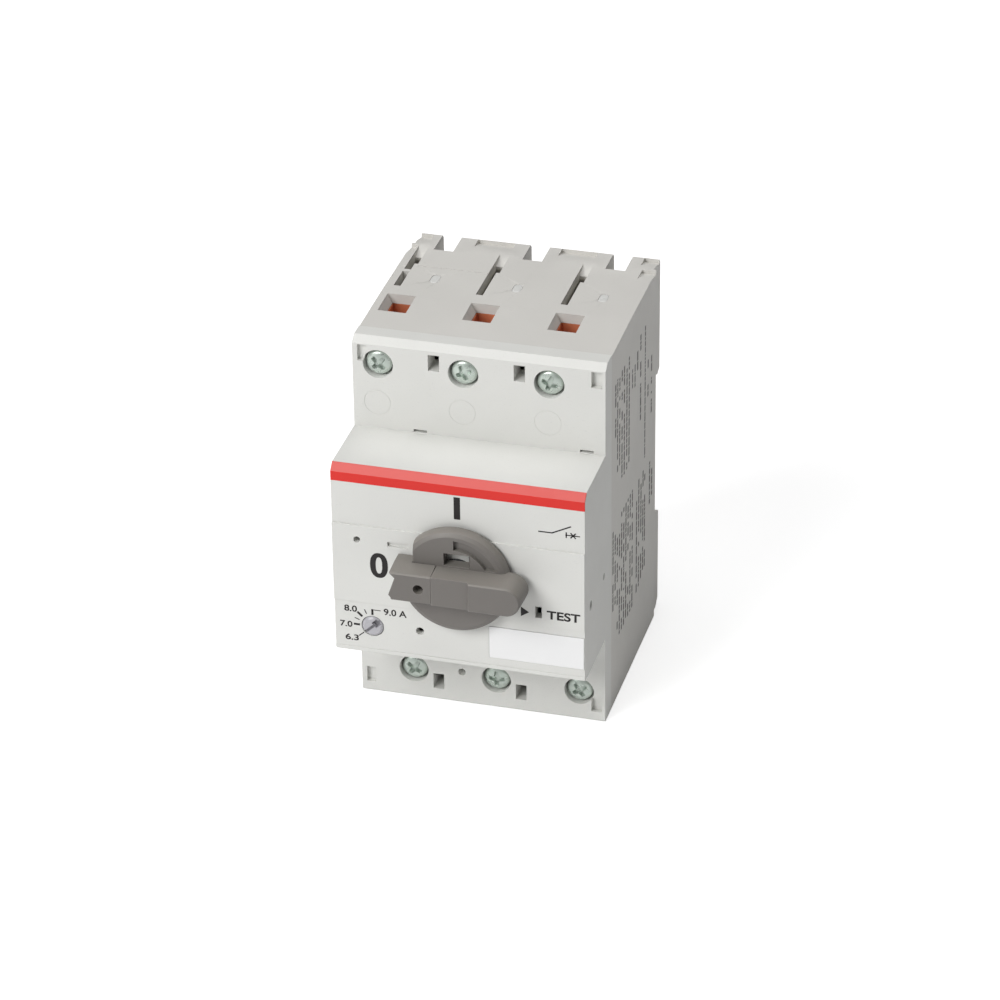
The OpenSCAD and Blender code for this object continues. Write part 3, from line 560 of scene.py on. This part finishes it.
def screw(name, x, z, body, turn):
    """A pan head screw with its recess, and a threaded shank that runs to the rear."""
    bm = bmesh.new()
    steps, dome_rings = 120, 36
    grid = []

    def loop(radius, y, depth=False, thread=False):
        """One ring of points, sunk by the recess or drawn in by the thread."""
        ring_points = []
        for i in range(steps):
            t = 2 * math.pi * i / steps
            r = radius
            if thread:
                phase = ((y / THREAD) + i / steps) % 1
                r -= THREAD_DEPTH * abs(2 * phase - 1)
            u, v = r * math.cos(t + turn), r * math.sin(t + turn)
            sunk = recess(r * math.cos(t), r * math.sin(t)) if depth else 0
            ring_points.append(bm.verts.new(at(x + u, y + sunk, z + v)))
        grid.append(ring_points)

    centre = bm.verts.new(at(x, HEAD_FRONT + recess(0, 0), z))
    for k in range(1, dome_rings + 1):
        r = DOME_R * k / dome_rings
        loop(r, HEAD_FRONT + DOME_RISE * (r / DOME_R) ** 2.2, depth=True)
    for r, y in ((2.55, HEAD_FRONT + 0.6), (2.72, HEAD_FRONT + 0.82), (HEAD_R, HEAD_FRONT + 1.1),
                 (HEAD_R, HEAD_BACK - 0.08), (HEAD_R - 0.08, HEAD_BACK), (SHANK_R, HEAD_BACK)):
        loop(r, y)
    y = HEAD_BACK + 0.1
    while y < SHANK_BACK - 0.25:
        loop(SHANK_R, y, thread=True)
        y += THREAD / 8
    loop(SHANK_R - 0.45, SHANK_BACK)
    for a, b in zip(grid, grid[1:]):
        for i in range(steps):
            j = (i + 1) % steps
            bm.faces.new((a[i], a[j], b[j], b[i]))
    for i in range(steps):
        bm.faces.new((centre, grid[0][i], grid[0][(i + 1) % steps]))
    bm.faces.new(grid[-1])
    o = piece(name + "_detail", bm, SLOTS["plated_steel"], body)
    o.data.shade_smooth()
    o.data.set_sharp_from_angle(angle=math.radians(32))
    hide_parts(name)


def screws():
    """The six terminal screws, each left at an angle of its own."""
    turns = {"line": (0.1, -0.25, 0.55), "load": (0.3, 0.9, -0.1)}
    for side in ("line", "load"):
        for i in (1, 2, 3):
            name = f"{side}_screw_{i}"
            low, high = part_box(name)
            middle = ((low + high) / 2 - ORIGIN) / MM
            screw(name, middle.x, middle.z, name, RECESS_TURN + turns[side][i - 1])


screws()

# ---------- springs ----------


def tube(bm, path, radius, sides=10):
    """A round wire along a path, closed at both ends."""
    rings = []
    side = (path[1] - path[0]).orthogonal().normalized()
    last = len(path) - 1
    for i, p in enumerate(path):
        ahead = (path[min(i + 1, last)] - path[max(i - 1, 0)]).normalized()
        side = (side - ahead * side.dot(ahead)).normalized()
        up = ahead.cross(side)
        rings.append([bm.verts.new(p + (side * math.cos(a) + up * math.sin(a)) * radius)
                      for a in (2 * math.pi * k / sides for k in range(sides))])
    for a, b in zip(rings, rings[1:]):
        for k in range(sides):
            j = (k + 1) % sides
            bm.faces.new((a[k], a[j], b[j], b[k]))
    bm.faces.new(rings[0])
    bm.faces.new(rings[-1])


def coil(bm, foot, axis, length, outer, wire, turns):
    """A compression spring with closed ends. foot is the middle of one end, in metres."""
    u = axis.orthogonal().normalized()
    v = axis.cross(u)
    r = (outer - wire) / 2 * MM
    per_turn = 32
    steps = int(turns * per_turn)
    lows = (length - wire) * MM
    closed = wire * 1.05 * MM      # rise of one closed turn
    path = []
    for i in range(steps + 1):
        t = i / per_turn
        if t < 1:
            h = closed * t
        elif t > turns - 1:
            h = lows - closed * (turns - t)
        else:
            h = closed + (lows - 2 * closed) * (t - 1) / (turns - 2)
        a = 2 * math.pi * t
        path.append(foot + axis * (h + wire / 2 * MM) + (u * math.cos(a) + v * math.sin(a)) * r)
    tube(bm, path, wire / 2 * MM)


def spring_piece(node, body, axis, wire, turns, count=1, joint=None, from_high=False):
    """Wound wire in the room of a CAD spring node. count springs stand in a row along X."""
    low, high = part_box(node)
    size = high - low
    k = max(range(3), key=lambda i: abs(axis[i]))
    across = [i for i in range(3) if i != k]
    outer = size[across[1] if across[0] == 0 and count > 1 else across[0]] / MM
    bm = bmesh.new()
    for n in range(count):
        foot = (low + high) / 2
        foot[k] = low[k]
        if count > 1:
            foot.x = low.x + outer * MM / 2 + (size.x - outer * MM) * n / (count - 1)
        coil(bm, foot, Vector(axis), size[k] / MM, outer, wire, turns)
    o = piece(node + "_wire", bm, SLOTS["spring_steel"], body, smooth=True)
    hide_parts(node)
    if joint:
        anchor = (low + high) / 2
        anchor[k] = high[k] if from_high else low[k]
        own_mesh(o)


def springs():
    """Every spring as wound wire; those that a joint presses get a mesh of their own."""

    spring_piece("opening_springs", "housing", (0, 0, 1), 0.55, 8, 2, "drive_lift",
                 True)
    spring_piece("contact_springs", "carrier", (0, 1, 0), 0.6, 5.5, 3)
    for i in (1, 2, 3):
        spring_piece(f"plunger_spring_{i}", "housing", (0, 1, 0), 0.4, 6, 1,
                     f"plunger_{i}_strike")
    spring_piece("trip_slide_spring", "housing", (1, 0, 0), 0.4, 5.5, 1, "trip_slide_move",
                 True)
    spring_piece("din_latch_spring", "housing", (0, 0, 1), 0.4, 8, 1, "rail_latch_pull")


springs()

# ---------- stage, lights ----------


def stage():
    """A plain pale floor."""
    bm = bmesh.new()
    bmesh.ops.create_circle(bm, cap_ends=True, segments=96, radius=14)
    mesh = bpy.data.meshes.new("floor")
    bm.to_mesh(mesh)
    bm.free()
    floor = bpy.data.objects.new("floor", mesh)
    bpy.context.scene.collection.objects.link(floor)
    floor.location.z = cad_box[0].z - 0.00002
    n = Nodes("floor_white")
    n.link(n.mix(n.remap(n.noise(3, 2), 0, 1), lin(248, 248, 248), lin(252, 252, 252)),
           n.shader.inputs["Base Color"])
    n.shader.inputs["Roughness"].default_value = 0.85
    # the floor looks white without throwing extra light up at the object
    n.shader.inputs["Emission Color"].default_value = (1, 1, 1, 1)
    path = n.tree.nodes.new("ShaderNodeLightPath").outputs["Is Camera Ray"]
    n.link(n.remap(path, 0, 0.5, 0, 1), n.shader.inputs["Emission Strength"])
    mesh.materials.append(n.mat)


def softbox(name, where, size, power, aim=(0, 0, 0.045)):
    """A rectangular lamp that faces aim."""
    data = bpy.data.lights.new(name, "AREA")
    data.shape = "RECTANGLE"
    data.size, data.size_y = size
    data.energy = power
    o = bpy.data.objects.new(name, data)
    o.location = where
    o.rotation_mode = "QUATERNION"
    o.rotation_quaternion = (Vector(aim) - Vector(where)).to_track_quat("-Z", "Y")
    bpy.context.scene.collection.objects.link(o)


def light():
    """A large soft lamp from the front left, one from above and a dim pale surround."""
    world = bpy.data.worlds.new("studio")
    world.use_nodes = True
    background = world.node_tree.nodes["Background"]
    background.inputs["Color"].default_value = lin(250, 251, 252)
    background.inputs["Strength"].default_value = 0.08
    bpy.context.scene.world = world
    softbox("key", (-0.75, -1.25, 1.05), (0.9, 0.9), 21.5)
    softbox("top", (0.1, 0.1, 1.5), (1.0, 1.0), 10.4)
    scene = bpy.context.scene
    scene.view_settings.view_transform = "Standard"
    scene.view_settings.look = "None"


stage()
light()
